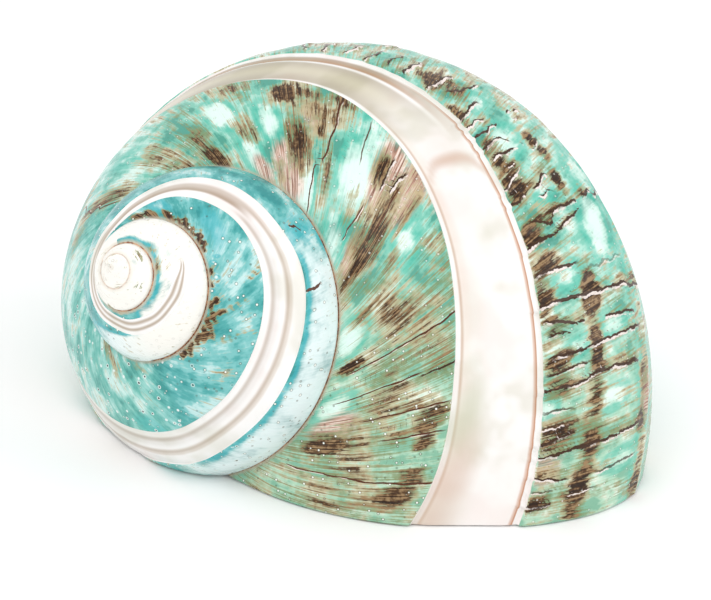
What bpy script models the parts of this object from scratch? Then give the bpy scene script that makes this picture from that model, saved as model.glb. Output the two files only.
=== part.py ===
"""A polished turban shell with a ground pearl band, resting on its aperture.

The shell is one closed solid. Its outside is a single helical grid: one row for each step of the
turn, one column for each place across the whorl, and the last column of a row is the first column
of the row one turn later. The ground plane cuts the lip flat, and a tapered spiral tube hollows
out the last whorl. Metres, +Z up, origin on the ground under the middle of the shell's box.
"""

import math

import bmesh
import bpy
from mathutils import Matrix, Vector

# Coiling. A turn angle of 0 is the end of the suture beside the lip. Turns count back from there
# to the apex, so the earlier whorls have negative ones.
SUTURE_RADIUS = 0.01723
SUTURE_DEPTH = 0.02203
RADIUS_GROWTH = 0.136
RADIUS_FLARE = 0.0009
DEPTH_GROWTH = 0.1438
FULL_TURN = 2 * math.pi
FIRST_TURN = math.radians(-1310)
LAST_TURN = math.radians(15)
APEX_DEPTH = 0.0003

# Whorl outline between two sutures, as shares of the chord that joins them.
SHOULDER_REACH, SHOULDER_SWELL = 0.212, 0.221
KEEL_REACH, KEEL_SWELL = 0.180, 0.228
NUCLEUS_SWELL = 0.05
NUCLEUS_FROM, NUCLEUS_TO = math.radians(-1310), math.radians(-900)

# Base, from the lower suture to the middle of the columella.
COLUMELLA_DEPTH = 0.0570
BASE_DROP = 0.36
BASE_SPREAD = 0.52
TUCK_DROP, TUCK_SPREAD, TUCK_RISE = 0.28, 0.20, 0.0130
TUCK_FROM, TUCK_FULL = math.radians(-345), math.radians(-300)
TUCK_LEAVES, TUCK_TO = math.radians(-285), math.radians(-210)

# How the shell lies: the spire points up and towards the viewer's left.
SPIRE_RISE = math.radians(26.34)
SPIRE_HEADING = math.radians(-128.61)
LIP_ROLL = math.radians(31.96)
APEX_PLACE = (-0.025024, -0.022187, 0.02502)

# Ground pearl band: turn angle in degrees, upper edge and lower edge across the whorl.
BAND = (
    (-830, 0.46, 0.54), (-810, 0.48, 0.55), (-785, 0.31, 0.53), (-752, 0.24, 0.44),
    (-716, 0.15, 0.38), (-680, 0.07, 0.27), (-620, 0.05, 0.22), (-565, 0.08, 0.25),
    (-540, 0.15, 0.37), (-517, 0.25, 0.51), (-499, 0.30, 0.57), (-470, 0.36, 0.60),
    (-445, 0.38, 0.66), (-400, 0.38, 0.64), (-368, 0.40, 0.64), (-340, 0.44, 0.71),
    (-300, 0.47, 0.76), (-240, 0.47, 0.72), (-180, 0.43, 0.66), (-150, 0.42, 0.61),
    (-120, 0.38, 0.59), (-100, 0.35, 0.555), (-75, 0.33, 0.55), (-60, 0.33, 0.565),
    (-40, 0.36, 0.60), (20, 0.42, 0.64),
)
BAND_DEPTH = 0.011
BAND_FADE_FROM, BAND_FADE_TO = math.radians(-815), math.radians(-780)
LEDGE_WIDTH = 0.012

# Growth ledges on the outer half of the last whorl.
LEDGE_SPACING = math.radians(15)
LEDGE_HEIGHT = 0.00045
LEDGE_LEAN = math.radians(55)
LEDGES_FROM, LEDGES_TO = math.radians(-175), math.radians(-50)
LEDGE_FADE = 0.85

# Grid, and how far to either side of a place its direction is taken from.
ROWS_PER_TURN = 72
COLUMNS_ABOVE_BAND = 3
COLUMNS_IN_BAND = 2
COLUMNS_BELOW_BAND = 5
COLUMNS_ON_BASE = 6
DIRECTION_STEP = 0.002

# Hollow of the last whorl.
WALL = 0.0019
HOLLOW_FROM = math.radians(-290)
HOLLOW_TO = math.radians(35)
HOLLOW_STEP = math.radians(10)
HOLLOW_TOP, HOLLOW_TURN_IN = 0.05, 1.35
HOLLOW_OUTER_POINTS, HOLLOW_FLOOR_POINTS, HOLLOW_INNER_POINTS = 10, 2, 4
FLOOR_RADIUS, FLOOR_DEPTH = 0.25, 1.075
FLOOR_SAG = 0.0015
END_SHRINK = 0.55

SHELL_COLOUR = (0.16, 0.46, 0.41, 1.0)
SHELL_ROUGHNESS = 0.18
SHELL_METALLIC = 0.0
SHARP_ANGLE = math.radians(35)


def clear_scene():
    for old in list(bpy.data.objects):
        bpy.data.objects.remove(old, do_unlink=True)


def smooth_step(low, high, value):
    share = min(max((value - low) / (high - low), 0.0), 1.0)
    return share * share * (3 - 2 * share)


def suture(turn):
    """Radius and depth of the seam between whorls, as a point in the half-plane of its angle."""
    radius = SUTURE_RADIUS * math.exp(RADIUS_GROWTH * turn + RADIUS_FLARE * turn * turn)
    depth = SUTURE_DEPTH * math.exp(DEPTH_GROWTH * turn)
    return Vector((radius, -depth))


def cubic(first, second, third, fourth, share):
    rest = 1 - share
    return (rest ** 3 * first + 3 * rest ** 2 * share * second
            + 3 * rest * share ** 2 * third + share ** 3 * fourth)


def quadratic(first, second, third, share):
    rest = 1 - share
    return rest ** 2 * first + 2 * rest * share * second + share ** 2 * third


def whorl_frame(turn):
    """Upper suture, lower suture, chord length, direction along the chord and out of it."""
    upper = suture(turn)
    lower = suture(turn + FULL_TURN)
    chord = (lower - upper).length
    along = (lower - upper) / chord
    out = Vector((-along.y, along.x))
    return upper, lower, chord, along, out


def smooth_outline(turn, across):
    """Point on the whorl: 0 to 1 from suture to suture, 1 to 2 over the base to the columella."""
    upper, lower, chord, along, out = whorl_frame(turn)
    swell = NUCLEUS_SWELL + (1 - NUCLEUS_SWELL) * smooth_step(NUCLEUS_FROM, NUCLEUS_TO, turn)
    keel = lower + chord * (KEEL_SWELL * swell * out - KEEL_REACH * along)
    if across <= 1:
        shoulder = upper + chord * (SHOULDER_SWELL * swell * out + SHOULDER_REACH * along)
        return cubic(upper, shoulder, keel, lower, across)
    tuck = smooth_step(TUCK_FROM, TUCK_FULL, turn) - smooth_step(TUCK_LEAVES, TUCK_TO, turn)
    drop = BASE_DROP + (TUCK_DROP - BASE_DROP) * tuck
    spread = BASE_SPREAD + (TUCK_SPREAD - BASE_SPREAD) * tuck
    foot = Vector((0.0, -COLUMELLA_DEPTH))
    start = lower + chord * drop * (lower - keel).normalized()
    end = Vector((spread * lower.x, TUCK_RISE * tuck - COLUMELLA_DEPTH))
    return cubic(lower, start, end, foot, across - 1)


def outline_normal(turn, across):
    before = smooth_outline(turn, across - DIRECTION_STEP)
    ahead = smooth_outline(turn, across + DIRECTION_STEP) - before
    return Vector((-ahead.y, ahead.x)).normalized()


def band_edges(turn):
    degrees = math.degrees(turn)
    if degrees <= BAND[0][0]:
        return BAND[0][1:]
    for before, after in zip(BAND, BAND[1:]):
        if degrees <= after[0]:
            share = smooth_step(before[0], after[0], degrees)
            return tuple(a + (b - a) * share for a, b in zip(before[1:], after[1:]))
    return BAND[-1][1:]


def columns(turn):
    """Places across the whorl where the grid has a column, with a pair on each edge of the band."""
    upper, lower = band_edges(turn)
    above = [upper * k / COLUMNS_ABOVE_BAND for k in range(COLUMNS_ABOVE_BAND)]
    above.append(upper - LEDGE_WIDTH / 2)
    first = upper + LEDGE_WIDTH / 2
    last = lower - LEDGE_WIDTH / 2
    inside = [first + (last - first) * k / COLUMNS_IN_BAND for k in range(COLUMNS_IN_BAND + 1)]
    start = lower + LEDGE_WIDTH / 2
    below = [start + (1 - start) * k / COLUMNS_BELOW_BAND for k in range(COLUMNS_BELOW_BAND + 1)]
    return above + inside + below


def relief(turn, across):
    """Height over the smooth whorl: the ground band is sunk, and growth ledges stand out."""
    upper, lower = band_edges(turn)
    chord = whorl_frame(turn)[2]
    if upper < across < lower:
        return -BAND_DEPTH * chord * smooth_step(BAND_FADE_FROM, BAND_FADE_TO, turn)
    if across <= lower or across >= 1:
        return 0.0
    growth = turn + LEDGE_LEAN * across
    step = (growth / LEDGE_SPACING) % 1.0
    strength = smooth_step(LEDGES_FROM, LEDGES_FROM + LEDGE_SPACING, turn)
    strength *= 1 - smooth_step(LEDGES_TO, LEDGES_TO + LEDGE_SPACING, turn)
    strength *= smooth_step(1.0, LEDGE_FADE, across)
    return LEDGE_HEIGHT * strength * step


def lying():
    """Turns the coiling axis, which starts upright, to the way the shell rests."""
    heading = Matrix.Rotation(SPIRE_HEADING, 4, "Z")
    lean = Matrix.Rotation(math.pi / 2 - SPIRE_RISE, 4, "Y")
    roll = Matrix.Rotation(LIP_ROLL, 4, "Z")
    return Matrix.Translation(APEX_PLACE) @ heading @ lean @ roll


def in_space(turn, point):
    return Vector((point.x * math.cos(turn), -point.x * math.sin(turn), point.y))


def surface_point(turn, across):
    point = smooth_outline(turn, across)
    height = relief(turn, across)
    if height:
        point = point + height * outline_normal(turn, across)
    return in_space(turn, point)


def outer_body():
    """The whole outside as one closed mesh, filled, with the whorl's end as a flat face."""
    mesh = bmesh.new()
    step = FULL_TURN / ROWS_PER_TURN
    count = int(round((LAST_TURN - FIRST_TURN) / step)) + 1
    turns = [LAST_TURN - step * (count - 1 - row) for row in range(count)]
    rows = [[mesh.verts.new(surface_point(turn, place)) for place in columns(turn)[:-1]]
            for turn in turns]
    foot = mesh.verts.new((0, 0, -COLUMELLA_DEPTH))
    apex = mesh.verts.new((0, 0, -APEX_DEPTH))
    for row, turn in enumerate(turns):
        if row + ROWS_PER_TURN < count:
            rows[row].append(rows[row + ROWS_PER_TURN][0])
            continue
        for k in range(COLUMNS_ON_BASE):
            rows[row].append(mesh.verts.new(surface_point(turn, 1 + k / COLUMNS_ON_BASE)))
        rows[row].append(foot)
    for one, two in zip(rows, rows[1:]):
        for k in range(min(len(one), len(two)) - 1):
            corners = [one[k], one[k + 1], two[k + 1], two[k]]
            if corners[1] is corners[2]:
                corners.pop(2)
            mesh.faces.new(corners)
        if len(two) > len(one):
            mesh.faces.new([one[-1], *two[len(one) - 1:]])
    start = rows[0]
    rim = [row[0] for row in rows[:ROWS_PER_TURN + 1]] + start[-2:0:-1]
    for one, two in zip(rim, rim[1:] + rim[:1]):
        mesh.faces.new([one, two, apex])
    inner = rows[count - 1 - ROWS_PER_TURN]
    seam = len(columns(turns[0])) - 1
    mesh.faces.new(rows[-1] + inner[-2:seam:-1])
    return mesh


def hollow_section(turn):
    """Outline of the hollow in the half-plane of one angle, inside the wall of the whorl."""
    outer = []
    for k in range(HOLLOW_OUTER_POINTS):
        across = HOLLOW_TOP + (HOLLOW_TURN_IN - HOLLOW_TOP) * k / (HOLLOW_OUTER_POINTS - 1)
        outer.append(smooth_outline(turn, across) - WALL * outline_normal(turn, across))
    lower = suture(turn + FULL_TURN)
    top, turn_in = outer[0], outer[-1]
    floor = Vector((FLOOR_RADIUS * lower.x, FLOOR_DEPTH * lower.y))
    sag = Vector(((turn_in.x + floor.x) / 2, min(turn_in.y, floor.y) - FLOOR_SAG))
    bottom = [quadratic(turn_in, sag, floor, k / HOLLOW_FLOOR_POINTS)
              for k in range(1, HOLLOW_FLOOR_POINTS + 1)]
    waist = Vector((0.0, (floor.y + top.y) / 2))
    inner = [quadratic(floor, waist, top, k / HOLLOW_INNER_POINTS)
             for k in range(1, HOLLOW_INNER_POINTS)]
    return outer + bottom + inner


def hollow_cutter():
    mesh = bmesh.new()
    count = int(round((HOLLOW_TO - HOLLOW_FROM) / HOLLOW_STEP))
    rings = []
    for k in range(count + 1):
        turn = HOLLOW_FROM + HOLLOW_STEP * k
        section = hollow_section(turn)
        if k == 0:
            middle = sum(section, Vector((0, 0))) / len(section)
            section = [middle + END_SHRINK * (point - middle) for point in section]
        rings.append([mesh.verts.new(in_space(turn, point)) for point in section])
    for one, two in zip(rings, rings[1:]):
        for k in range(len(one)):
            after = (k + 1) % len(one)
            mesh.faces.new([one[k], one[after], two[after], two[k]])
    mesh.faces.new(rings[0])
    mesh.faces.new(rings[-1])
    return mesh


def to_object(name, mesh):
    mesh.transform(lying())
    bmesh.ops.recalc_face_normals(mesh, faces=mesh.faces)
    data = bpy.data.meshes.new(name)
    mesh.to_mesh(data)
    mesh.free()
    made = bpy.data.objects.new(name, data)
    bpy.context.scene.collection.objects.link(made)
    return made


def cut_at_ground(shell):
    """Cuts the shell off level with the ground, which leaves the lip flat."""
    mesh = bmesh.new()
    mesh.from_mesh(shell.data)
    everything = mesh.verts[:] + mesh.edges[:] + mesh.faces[:]
    cut = bmesh.ops.bisect_plane(mesh, geom=everything, plane_co=(0, 0, 0), plane_no=(0, 0, -1),
                                 clear_outer=True)
    edges = [item for item in cut["geom_cut"] if isinstance(item, bmesh.types.BMEdge)]
    bmesh.ops.contextual_create(mesh, geom=edges)
    bmesh.ops.recalc_face_normals(mesh, faces=mesh.faces)
    mesh.to_mesh(shell.data)
    mesh.free()


def shell_material():
    material = bpy.data.materials.new("polished_shell")
    material.use_nodes = True
    shader = material.node_tree.nodes["Principled BSDF"]
    shader.inputs["Base Color"].default_value = SHELL_COLOUR
    shader.inputs["Roughness"].default_value = SHELL_ROUGHNESS
    shader.inputs["Metallic"].default_value = SHELL_METALLIC
    return material


def main():
    clear_scene()
    shell = to_object("turban_shell", outer_body())
    cut_at_ground(shell)
    cutter = to_object("hollow_cutter", hollow_cutter())
    cutter.hide_render = True
    cutter.display_type = "WIRE"
    hollow = shell.modifiers.new("hollow", "BOOLEAN")
    hollow.operation = "DIFFERENCE"
    hollow.solver = "EXACT"
    hollow.object = cutter
    shell.data.materials.append(shell_material())
    shell.data.shade_smooth()
    shell.data.set_sharp_from_angle(angle=SHARP_ANGLE)


main()
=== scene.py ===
"""Looks of a polished turban shell with a ground pearl band, resting on its open mouth.

The shell is one piece. Its skin is a fine grid that follows the coil: a row for each step of the
turn, a column for each place across the whorl. The two places are also its texture coordinates,
so growth lines, bands and marks follow the surface. Metres, +Z up, in the frame of the CAD model.
"""

import math

import bpy
import numpy as np
from mathutils import Matrix, Vector


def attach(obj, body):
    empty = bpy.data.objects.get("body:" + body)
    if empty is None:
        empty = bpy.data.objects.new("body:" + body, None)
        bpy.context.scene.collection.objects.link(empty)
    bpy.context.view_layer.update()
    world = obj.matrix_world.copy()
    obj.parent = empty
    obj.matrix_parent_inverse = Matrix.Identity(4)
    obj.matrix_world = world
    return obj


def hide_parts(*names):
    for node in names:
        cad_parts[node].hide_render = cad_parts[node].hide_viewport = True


# Coiling, as in the CAD model. Turn 0 is the end of the seam beside the lip.
SUTURE_RADIUS = 0.01723
SUTURE_DEPTH = 0.02203
RADIUS_GROWTH = 0.136
RADIUS_FLARE = 0.0009
DEPTH_GROWTH = 0.1438
FULL_TURN = 2 * math.pi
APEX_DEPTH = 0.0003
SHOULDER_REACH, SHOULDER_SWELL = 0.212, 0.221
KEEL_REACH, KEEL_SWELL = 0.180, 0.228
NUCLEUS_SWELL = 0.05
NUCLEUS_FROM, NUCLEUS_TO = math.radians(-1310), math.radians(-900)
COLUMELLA_DEPTH = 0.0570
BASE_DROP, BASE_SPREAD = 0.36, 0.52
TUCK_DROP, TUCK_SPREAD, TUCK_RISE = 0.28, 0.20, 0.0130
TUCK_FROM, TUCK_FULL = math.radians(-345), math.radians(-300)
TUCK_LEAVES, TUCK_TO = math.radians(-285), math.radians(-210)
SPIRE_RISE = math.radians(26.34)
SPIRE_HEADING = math.radians(-128.61)
LIP_ROLL = math.radians(31.96)
APEX_PLACE = (-0.025024, -0.022187, 0.02502)

# Growth lines lean back across the whorl: by LEAN_REACH in all, most of it near the seam.
LEAN_REACH = math.radians(68)
LEAN_RATE = 2.0
GROWTH_SCALE = 184.0
MILLIMETRES = 1000.0

# Ground pearl band: turn angle in degrees, upper edge and lower edge across the whorl.
BAND = (
    (-830, 0.46, 0.54), (-810, 0.48, 0.55), (-785, 0.31, 0.53), (-752, 0.24, 0.44),
    (-716, 0.15, 0.38), (-680, 0.07, 0.27), (-620, 0.05, 0.22), (-565, 0.08, 0.25),
    (-540, 0.15, 0.37), (-517, 0.25, 0.51), (-499, 0.30, 0.57), (-470, 0.36, 0.60),
    (-445, 0.38, 0.66), (-400, 0.38, 0.64), (-368, 0.40, 0.64), (-340, 0.44, 0.71),
    (-300, 0.47, 0.76), (-240, 0.47, 0.72), (-180, 0.43, 0.66), (-150, 0.42, 0.61),
    (-120, 0.38, 0.59), (-100, 0.35, 0.555), (-75, 0.33, 0.55), (-60, 0.33, 0.565),
    (-40, 0.36, 0.60), (20, 0.42, 0.64),
)
BAND_DEPTH = 0.011
BAND_FADE_FROM, BAND_FADE_TO = -815, -780
EVEN_OUT = (-9, -6, -3, 0, 3, 6, 9)
RIM = 0.008

# Grooves in the band: place in it, half width, depth by the chord, middle turn and reach of turn.
GROOVES = (
    (0.50, 0.20, 0.006, -505, 32),
    (0.24, 0.14, 0.004, -410, 85),
    (0.62, 0.12, 0.004, -410, 85),
    (0.80, 0.16, 0.005, -170, 70),
    (0.35, 0.30, 0.004, -170, 60),
)
FACET_SAG = 0.00022
FACET_START, FACET_ROUND = -112.0, 12.0

# Growth ledges: growth line in degrees, from and to across the whorl, strength, wobble, drift.
LEDGES = (
    (-82, .24, .33, .9, 1.0, 0), (-78, .26, .33, .9, 1.0, 1), (-31, .25, .34, .8, .5, 0),
    (-87, .61, .73, .8, 1.0, 2), (-82, .60, .74, .8, 1.0, 3), (-78, .64, .80, .6, 1.0, 5),
    (-74, .54, .70, .8, 1.0, 3), (-68, .56, .84, .9, 1.0, 4), (-58, .60, .80, .6, 1.0, 1),
    (-55, .52, .70, .7, .8, -2), (-53, .54, .72, 1, 1.2, 2), (-46, .59, .96, 1, 1.5, 3),
    (-43, .54, .80, 1, 1.0, 0), (-34, .66, .93, .4, .6, 2), (-32, .53, .99, 1, .7, 6),
    (-29, .56, .73, 1, .7, 5), (-26, .57, .65, .8, .5, 1), (-25, .70, .91, .8, .5, 2),
    (-22, .57, .93, 1, .5, 2), (-19.5, .56, .70, .6, .4, 1), (-17, .55, .90, 1, .5, 2),
    (-13, .56, .66, .5, .4, 1), (-10.5, .56, .68, .5, .3, 1), (-7.5, .56, .70, 1, .6, -1),
    (-5, .56, .92, .8, .4, 0), (-1.5, .56, .68, .7, .3, 2), (0, .75, .92, .5, .4, 0),
    (1.5, .58, .70, .5, .3, 0), (4, .57, .66, 1, .3, 0), (3, .67, .78, .5, .3, 0),
    (-71, .55, .66, .7, 1.6, 2), (-64.5, .55, .68, .8, 1.6, 3), (-61, .58, .72, .7, 1.4, 2),
    (-66, .70, .82, .6, 1.4, 3), (-92, .62, .73, .7, 1.2, 2), (-97, .61, .72, .8, 1.3, 3),
    (-102, .63, .75, .7, 1.2, 3), (-107, .62, .73, .7, 1.2, 2), (-113, .64, .76, .6, 1.0, 2),
    (-50, .60, .72, .6, 1.0, 2), (-37.5, .55, .70, .7, .8, 2), (-95, .78, .88, .5, 1.2, 2),
)
LEDGE_HEIGHT = 0.00030
LEDGE_FALL = 0.7
LEDGE_APART = 0.25
RIPPLE_HEIGHT = 0.00005
SEAM_SWELL = 0.00012
CRACKS = (
    (-111, .00, .15, .9, 1.2, 3), (-105, .17, .38, .8, 1.2, 4), (-43, .06, .34, 1, .4, 1),
    (-33, .05, .25, .6, .5, 0), (-7, .05, .36, .9, .5, 4), (-203, .10, .44, 1, 3, 8),
    (-24, .14, .33, .6, .4, 1), (-17, .20, .34, .5, .4, 1),
    (-88, .07, .17, .8, 1.5, 3), (-78, .16, .30, .5, 1, 2), (-387, .66, .78, .8, 1.5, 2),
    (-413, .68, .76, .7, 1.5, 4), (-92, .24, .38, .4, 1, 1),
)

# Marks: turn angle, place across, half length across, half width in degrees, strength.
BROWN_MARKS = (
    (-171, .385, .035, 4, .5), (-165, .33, .04, 4, .35), (-153, .35, .045, 4, .75),
    (-146, .37, .03, 7, .5), (-137, .385, .025, 7, .5), (-186, .32, .03, 5, .35),
    (-174, .146, .07, 4, .5), (-180, .20, .05, 4, .3), (-162, .05, .06, 5, .75),
    (-155, .17, .08, 6, .5), (-160, .19, .05, 5, .4), (-134, .17, .09, 5, .75),
    (-140, .20, .06, 5, .55), (-128, .14, .06, 4, .6), (-134, .25, .025, 4, .45),
    (-194, .21, .04, 4, .4), (-192, .14, .08, 8, .4), (-183, .05, .04, 5, .45),
    (-225, .23, .10, 4, .5), (-215, .14, .10, 7, .45), (-228, .40, .04, 8, .4),
    (-107, .14, .08, 5, .6), (-114, .28, .06, 4, .6), (-100, .135, .08, 7, .5),
    (-103, .23, .09, 4, .5), (-94, .15, .10, 5, .65), (-99, .27, .08, 3, .45),
    (-121, .16, .09, 2.0, .55), (-87, .18, .05, 3, .4), (-69, .073, .05, 4, .6),
    (-72, .14, .06, 4, .35), (-53, .06, .035, 2.4, .9), (-44, .167, .08, 4, .4),
    (-34, .15, .10, 6, .4), (-51, .30, .05, 4, .5), (-45, .30, .03, 3, .6),
    (-42, .24, .04, 2.4, .5), (-37, .31, .04, 3, .5), (-31, .30, .05, 3.4, .6),
    (-27, .085, .05, 4, .75), (-28, .19, .04, 3, .4), (-20, .28, .05, 3, .55),
    (-15, .15, .08, 3, .35), (-69, .19, .10, 6, .35), (-67, .28, .05, 4, .35),
    (-78, .27, .06, 4, .35), (-61, .25, .08, 3, .3), (-56, .14, .08, 3, .3),
    (-82, .72, .04, 4, .6), (-80, .57, .04, 4, .6), (-86, .60, .06, 3, .4),
    (-69, .605, .045, 1.6, .8), (-64, .60, .05, 3, .5), (-72, .72, .03, 4, .5),
    (-75, .60, .05, 2, .45), (-110, .60, .05, 5, .6), (-105, .61, .06, 3, .6),
    (-101, .60, .05, 3, .7), (-132, .66, .05, 4, .6), (-127, .69, .06, 4, .55),
    (-120, .58, .05, 4, .55), (-117, .66, .04, 3, .4), (-96, .64, .08, 3, .5),
    (-92, .58, .05, 3, .7), (-103, .76, .03, 3, .6), (-100, .83, .05, 2, .5),
    (-57, .62, .08, 4, .5), (-59, .68, .05, 3, .4), (-48, .70, .06, 3, .4),
    (-44, .60, .06, 2.5, .55), (-112, .76, .03, 2.4, .6), (-109, .78, .03, 2.4, .55),
    (-53, .96, .04, 5, .5), (-63, .93, .03, 2.4, .6), (-68, .93, .02, 6, .35),
    (-303, .06, .06, 6, .45), (-312, .10, .07, 4, .35), (-330, .05, .04, 8, .3),
    (-1190, .55, .14, 14, .5), (-1120, .45, .10, 9, .5), (-1040, .8, .08, 7, .45),
    (-803, .07, .10, 10, .45), (-834, .10, .08, 7, .4), (-237, .28, .07, 8, .35),
    (-405, .24, .10, 1.6, .35), (-419, .18, .10, 1.6, .45), (-441, .33, .06, 1.2, .5),
    (-386, .30, .05, 5, .25),
)
BEADS = (
    (-540, .06, .05, 7, .5), (-525, .06, .05, 6, .8), (-508, .06, .05, 5, .9),
    (-496, .05, .04, 4, .5), (-489, .06, .05, 3, .9), (-480, .05, .04, 3, .5),
    (-471, .05, .05, 3, .9), (-463, .05, .04, 3, .8), (-441, .03, .04, 3, .7),
    (-433, .05, .03, 3, .5), (-418, .05, .05, 3, .9), (-409, .07, .05, 3, .9),
    (-402, .07, .05, 3, .5), (-394, .07, .05, 4, .9), (-381, .04, .04, 4, .5),
    (-373, .04, .04, 3, .9),
)
PALE_MARKS = (
    (-169, .25, .10, 7, 1), (-150, .22, .11, 6, .8), (-114, .20, .14, 9, 1),
    (-121, .31, .14, 10, .62), (-146, .073, .09, 8, .75), (-121, .08, .12, 4, 1),
    (-98, .042, .09, 9, .75), (-119, .031, .07, 7, .9), (-61, .04, .07, 9, .85),
    (-205, .26, .10, 9, .5), (-38, .05, .07, 8, .75), (-92, .24, .07, 9, .55),
    (-112, .66, .10, 6, .7), (-95, .84, .10, 9, .85), (-100, .68, .07, 5, .5),
    (-84, .66, .08, 4, .5), (-72, .66, .06, 3, .6), (-65, .78, .10, 3, .6),
    (-60, .57, .05, 3, .7), (-77, .80, .10, 3, .6), (-123, .70, .07, 4, .6),
    (-45, .90, .10, 5, .6), (-105, .92, .12, 9, .6), (-56, .85, .10, 3, .6),
    (-451, .09, .03, 2.2, .9), (-437, .07, .03, 2.2, .9), (-429, .05, .03, 2.2, .9),
    (-350, .80, .20, 22, .8), (-385, .85, .15, 9, .75), (-480, .20, .14, 22, .3),
    (-335, .40, .10, 10, .4), (-520, .14, .10, 14, .45), (-455, .70, .12, 7, .6),
)
MAUVE_MARKS = (
    (-139, .29, .08, 6, .8), (-131, .083, .10, 8, 1), (-139, .04, .06, 6, .8),
    (-111, .28, .11, 6, 1), (-105, .31, .12, 5, .9), (-90, .083, .07, 6, 1),
    (-33, .08, .07, 7, .9), (-85, .115, .05, 5, .5), (-101, .36, .05, 5, .5),
    (-70, .53, .05, 12, .5), (-56, .60, .06, 6, .5), (-50, .60, .08, 7, .6),
    (-46, .90, .08, 10, .4), (-68, .96, .05, 7, .9),
)

# Tints in the pearl of the band: grey-green and pink, by turn angle and place across.
GREY_TINTS = (
    (-54, .385, .035, 9, .9), (-64, .375, .03, 3, .5), (-93, .46, .03, 4, .25),
    (-76, .38, .03, 8, .3), (-47, .42, .03, 3, .4), (-32, .41, .05, 8, .35),
)
PINK_TINTS = (
    (-41, .40, .04, 9, .7), (-30, .40, .04, 8, .6), (-112, .44, .10, 5, .2),
    (-95, .37, .02, 14, .2),
)

# Grid: fine rows on the side that faces the viewer, coarser ones behind, the same in each turn.
FINE_FROM, FINE_TO, FINE_STEP = -187.5, -7.5, 0.45
COARSE_STEP = 1.125
FIRST_ROW, LAST_ROW = -1310.25, 15.0
SPIRE_END, PENULTIMATE_END = -705.0, -345.0
WHORL_COLUMNS = (
    (SPIRE_END, (4, 5, 5)),
    (PENULTIMATE_END, (10, 12, 14)),
    (LAST_ROW, (26, 18, 40)),
)
BASE_COLUMNS = 12
LAST_SEAM = math.radians(PENULTIMATE_END)
BODY_RADIUS = 25
END_FIELDS = (0.0, 1.0, 1.0, 0.0)
FAR = 9.0

# Hollow of the last whorl.
WALL = 0.0019
HOLLOW_FROM, HOLLOW_TO, HOLLOW_STEP = -290, 35, 3.25
HOLLOW_TOP, HOLLOW_TURN_IN = 0.05, 1.35
HOLLOW_OUTER_POINTS, HOLLOW_FLOOR_POINTS, HOLLOW_INNER_POINTS = 28, 6, 8
FLOOR_RADIUS, FLOOR_DEPTH, FLOOR_SAG = 0.25, 1.075, 0.0015
END_SHRINK = 0.55
CUT_TOLERANCE = 0.000001

# Camera, from the photograph's own perspective.
CAMERA_PLACE = (-0.014008, -0.320831, 0.170472)
CAMERA_RIGHT = (0.99629859, 0.0, 0.08595999)
CAMERA_UP = (-0.07707254, 0.44282208, 0.89329079)
SENSOR_WIDTH = 36.0
FOCAL_IN_PICTURE_WIDTHS = 4.9081

# Soft studio: name, place, side and watts of each lamp, and the floor just under the shell.
LAMPS = (
    ("key_light", (-0.25, -0.35, 0.6), 0.5, 1.5),
    ("side_light", (0.6, -0.1, 0.35), 0.4, 0.9),
)
SKY_STRENGTH = 0.90
FLOOR_SIDE, FLOOR_LEVEL = 6, -0.0002
FLOOR_TONE = (0.97, 0.97, 0.97, 1)
FLOOR_ROUGHNESS = 0.9

# Finish of the polished skin and of the pearl inside.
SMOOTH_ANGLE = math.radians(40)
POLISH = {"Roughness": 0.24, "Specular IOR Level": 0.22, "Coat Weight": 0.1, "Coat Roughness": 0.08}
LINING_POLISH = {"Roughness": 0.2, "Coat Weight": 0.3}
BUMP_STRENGTH, BUMP_HEIGHT = 0.45, 0.0002

# Tones as the eye sees them on a screen, 0 to 255. In a row, each has its place along a noise from 0
# to 1, along the blue share of the skin, or across the band.
GREEN = ((0.34, (80, 158, 140)), (0.44, (124, 196, 176)), (0.52, (168, 218, 202)),
         (0.61, (222, 242, 232)))
SAGE = ((0.36, (136, 186, 158)), (0.48, (184, 216, 190)), (0.60, (232, 240, 224)))
SEA = ((0.32, (50, 142, 142)), (0.44, (80, 166, 164)), (0.54, (122, 192, 190)),
       (0.68, (196, 228, 226)))
PATCH_RING = ((0.0, (70, 186, 164)), (1.0, (64, 176, 186)))
MILK = ((0.0, (222, 246, 236)), (1.0, (226, 240, 240)))
INNER_MILK = (246, 243, 236)
MAUVE_STRIPES = ((0.30, (120, 80, 64)), (0.46, (188, 150, 132)), (0.60, (238, 220, 208)))
OLIVE = ((0.4, (124, 138, 92)), (0.6, (188, 174, 134)))
BARK = ((0.38, (44, 26, 12)), (0.52, (84, 56, 30)), (0.66, (152, 124, 88)))
# Speckles are painted glints in tiny pits, ringed with painted shade; pits are painted shade with a
# painted highlight on their rim.
SPECKLE_GLINT, SPECKLE_RING_SHADE = (246, 248, 240), (70, 66, 44)
PIT_SHADE, PIT_RIM_HIGHLIGHT = (30, 40, 36), (226, 236, 232)
# The ledges' dark line is painted shade before their step; their crust is white.
LEDGE_PAINTED_SHADE, LEDGE_CRUST = (64, 40, 22), (240, 228, 222)
CRACK_SHADE, CRACK_FLAKE = (84, 44, 22), (240, 226, 214)
SEAM_HALO = (206, 196, 176)
SEAM_LINE = ((0.4, (140, 80, 52)), (0.6, (214, 168, 132)))
# The pearl's clouds are partly its own tone and partly its iridescent sheen painted into the colour.
PEARL_CLOUDS = ((0.38, (220, 217, 204)), (0.50, (246, 243, 241)), (0.64, (240, 228, 224)))
PEARL_LIGHT = (250, 250, 250)
GREY_PEARL, PINK_PEARL = (196, 196, 172), (206, 178, 160)
BAND_RIM, BAND_WHITE = (250, 249, 248), (246, 244, 242)
# Grey and fawn of the band's strips: partly the pearl's own tone, partly painted shade.
BAND_GREY, BAND_FAWN = (196, 188, 172), (188, 173, 157)
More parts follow.
